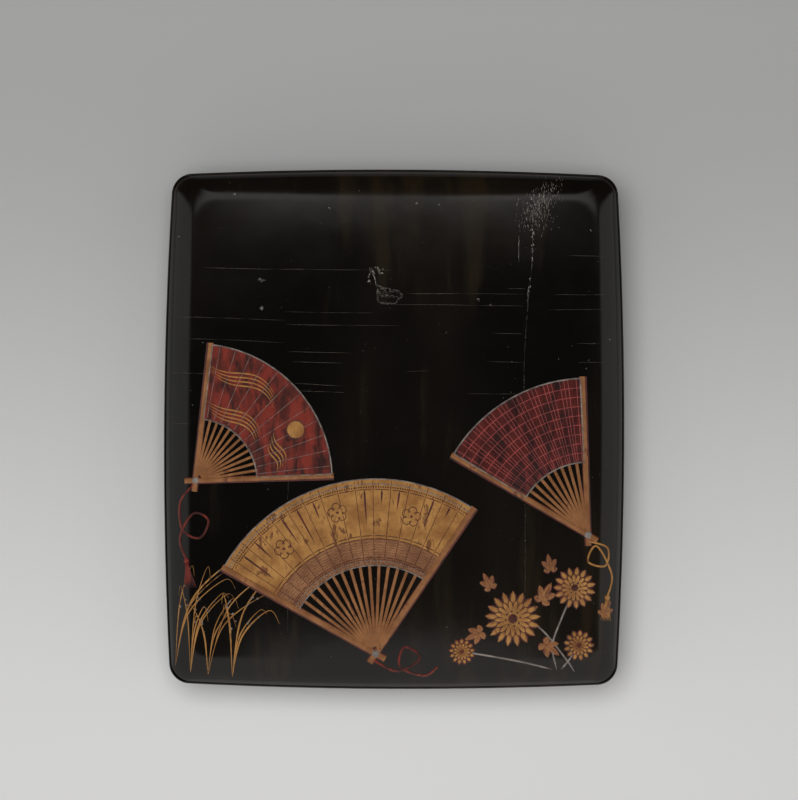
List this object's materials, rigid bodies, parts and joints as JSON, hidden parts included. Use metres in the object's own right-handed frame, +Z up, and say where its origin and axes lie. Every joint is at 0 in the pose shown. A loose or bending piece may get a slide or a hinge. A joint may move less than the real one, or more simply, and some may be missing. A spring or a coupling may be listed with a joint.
{
  "type": "writing box",
  "caption": "Low lacquered box with bowed sides and a domed, overlapping lid, over lift-out trays, an inkstone, a water dropper, brushes, ink and paper tools.",
  "frame": {"origin": "middle of the underside of the body, on the surface the box lies on", "axes": "+Z up, out of the lid; +Y along the box towards its far end, which is the top edge of the lid as decorated; +X to the right"},
  "size_m": [0.21, 0.237, 0.0462],
  "materials": {
    "black_lacquer": "polished black lacquer over wood, aged to a brown tint, with decoration in gold, red and silver powders",
    "flecked_lacquer": "brown lacquer flecked with gold powder, satin",
    "slate": "honed dark slate",
    "gilt_copper": "gilded copper, worn satin",
    "bamboo": "smooth, waxed",
    "hair": "fine pale hair",
    "ink": "moulded soot and glue, matt with a slight sheen",
    "steel": "ground steel"
  },
  "bodies": {
    "body": {"body_frame": "flecked_lacquer", "body_floor": "flecked_lacquer", "tray_rest_left_front": "flecked_lacquer", "tray_rest_left_rear": "flecked_lacquer", "tray_rest_right_front": "flecked_lacquer", "tray_rest_right_rear": "flecked_lacquer"},
    "lid": {"lid_frame": "black_lacquer", "lid_plank_left": "black_lacquer", "lid_plank_middle": "black_lacquer", "lid_plank_right": "black_lacquer"},
    "centre_board": {"centre_board": "flecked_lacquer"},
    "inkstone": {"inkstone": "slate"},
    "dropper": {"dropper_vessel": "gilt_copper", "dropper_cover": "gilt_copper"},
    "left_tray": {"left_tray_frame": "flecked_lacquer", "left_tray_floor": "flecked_lacquer", "brush_rest_front": "black_lacquer", "brush_rest_rear": "black_lacquer"},
    "large_brush": {"brush_large_handle": "bamboo", "brush_large_tuft": "hair"},
    "large_brush_cap": {"brush_large_cap": "bamboo"},
    "small_brush": {"brush_small_handle": "bamboo", "brush_small_tuft": "hair"},
    "small_brush_cap": {"brush_small_cap": "bamboo"},
    "right_tray": {"right_tray_frame": "flecked_lacquer", "right_tray_floor": "flecked_lacquer"},
    "ink_stick": {"ink_stick": "ink"},
    "knife": {"knife_handle": "bamboo", "knife_blade": "steel"},
    "knife_sheath": {"knife_sheath": "black_lacquer"},
    "pricker": {"pricker_handle": "bamboo", "pricker_ferrule": "gilt_copper", "pricker_needle": "steel"}
  },
  "joints": [
    {"name": "lid_lift", "type": "slide", "parent": "body", "child": "lid", "axis": [0, 0, 1], "range_m": [0, 0.16]},
    {"name": "centre_board_lift", "type": "slide", "parent": "body", "child": "centre_board", "axis": [0, 0, 1], "range_m": [0, 0.048]},
    {"name": "inkstone_lift", "type": "slide", "parent": "centre_board", "child": "inkstone", "axis": [0, 0, 1], "range_m": [0, 0.032]},
    {"name": "dropper_lift", "type": "slide", "parent": "centre_board", "child": "dropper", "axis": [0, 0, 1], "range_m": [0, 0.032]},
    {"name": "left_tray_lift", "type": "slide", "parent": "body", "child": "left_tray", "axis": [0, 0, 1], "range_m": [0, 0.048]},
    {"name": "large_brush_lift", "type": "slide", "parent": "left_tray", "child": "large_brush", "axis": [0, 0, 1], "range_m": [0, 0.032]},
    {"name": "large_brush_uncap", "type": "slide", "parent": "large_brush", "child": "large_brush_cap", "axis": [0, 1, 0], "range_m": [0, 0.043]},
    {"name": "small_brush_lift", "type": "slide", "parent": "left_tray", "child": "small_brush", "axis": [0, 0, 1], "range_m": [0, 0.032]},
    {"name": "small_brush_uncap", "type": "slide", "parent": "small_brush", "child": "small_brush_cap", "axis": [0, 1, 0], "range_m": [0, 0.036]},
    {"name": "right_tray_lift", "type": "slide", "parent": "body", "child": "right_tray", "axis": [0, 0, 1], "range_m": [0, 0.048]},
    {"name": "ink_stick_lift", "type": "slide", "parent": "right_tray", "child": "ink_stick", "axis": [0, 0, 1], "range_m": [0, 0.032]},
    {"name": "knife_lift", "type": "slide", "parent": "right_tray", "child": "knife", "axis": [0, 0, 1], "range_m": [0, 0.032]},
    {"name": "knife_unsheathe", "type": "slide", "parent": "knife", "child": "knife_sheath", "axis": [0, 1, 0], "range_m": [0, 0.058]},
    {"name": "pricker_lift", "type": "slide", "parent": "right_tray", "child": "pricker", "axis": [0, 0, 1], "range_m": [0, 0.032]}
  ],
  "couplings": [
    {"joint": "centre_board_lift", "follows": "lid_lift", "ratio": 0.3},
    {"joint": "inkstone_lift", "follows": "lid_lift", "ratio": 0.2},
    {"joint": "dropper_lift", "follows": "lid_lift", "ratio": 0.2},
    {"joint": "left_tray_lift", "follows": "lid_lift", "ratio": 0.3},
    {"joint": "large_brush_lift", "follows": "lid_lift", "ratio": 0.2},
    {"joint": "small_brush_lift", "follows": "lid_lift", "ratio": 0.2},
    {"joint": "right_tray_lift", "follows": "lid_lift", "ratio": 0.3},
    {"joint": "ink_stick_lift", "follows": "lid_lift", "ratio": 0.2},
    {"joint": "knife_lift", "follows": "lid_lift", "ratio": 0.2},
    {"joint": "pricker_lift", "follows": "lid_lift", "ratio": 0.2}
  ]
}
